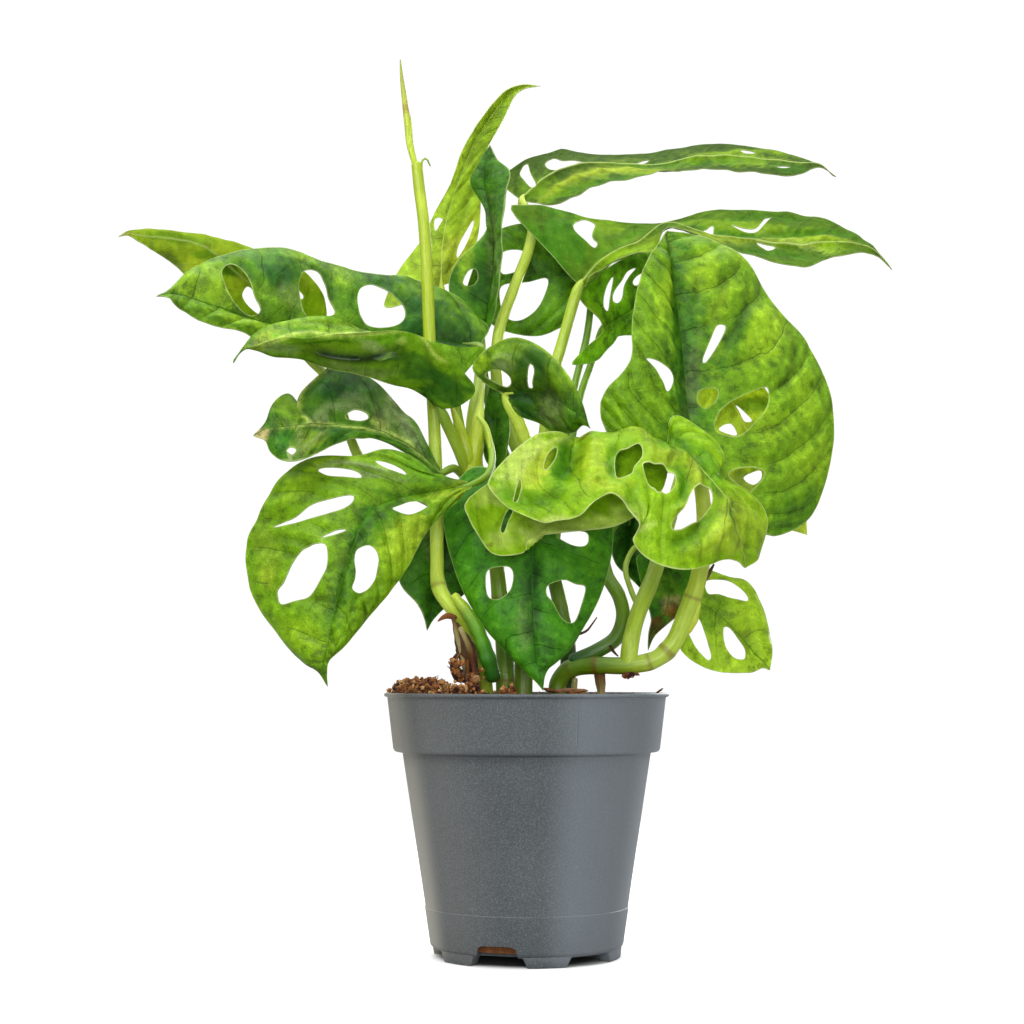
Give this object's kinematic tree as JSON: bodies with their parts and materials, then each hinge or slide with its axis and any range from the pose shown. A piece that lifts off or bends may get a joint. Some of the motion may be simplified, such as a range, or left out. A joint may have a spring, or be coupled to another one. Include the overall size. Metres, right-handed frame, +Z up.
{
  "type": "potted swiss cheese vine",
  "caption": "Young swiss cheese vine with holed, heart-shaped leaves on climbing stems, growing in a tapered grey nursery pot with a broad collar and short feet.",
  "frame": {"origin": "middle of the box round the whole object, on the ground under the pot", "axes": "+Z up along the pot's axis; -Y towards the viewer of the picture; +X to the viewer's right"},
  "size_m": [0.3283, 0.1657, 0.3855],
  "materials": {
    "pot_plastic": "satin",
    "soil": "matte",
    "root": "matte",
    "stalk": "satin",
    "leaf_deep": "satin",
    "leaf_mid": "satin",
    "leaf_light": "satin",
    "leaf_young": "satin",
    "leaf_yellow": "satin"
  },
  "bodies": {
    "root": {"vine_left": "stalk", "vine_middle": "stalk", "vine_front": "stalk", "vine_back": "stalk", "vine_right": "stalk", "aerial_root_right": "root", "aerial_root_middle": "root", "dried_stem": "root", "rolled_leaf": "leaf_yellow", "leaf_low_left": "leaf_light", "leaf_front_low": "leaf_deep", "leaf_front_curled": "leaf_young", "leaf_right_large": "leaf_mid", "leaf_right_upper": "leaf_mid", "leaf_top_right": "leaf_mid", "leaf_upper_left": "leaf_deep", "leaf_far_left": "leaf_yellow", "leaf_left_twisted": "leaf_mid", "leaf_centre_dark": "leaf_deep", "leaf_left_crumpled": "leaf_deep", "leaf_top_narrow": "leaf_young", "leaf_centre_top": "leaf_deep", "leaf_back_centre": "leaf_mid", "leaf_back_right": "leaf_mid", "leaf_right_back": "leaf_yellow", "leaf_low_right": "leaf_light", "leaf_low_right_back": "leaf_mid", "leaf_back_low": "leaf_deep", "leaf_low_left_dark": "leaf_deep", "leaf_centre_small": "leaf_mid", "pot": "pot_plastic", "soil": "soil"}
  },
  "joints": []
}
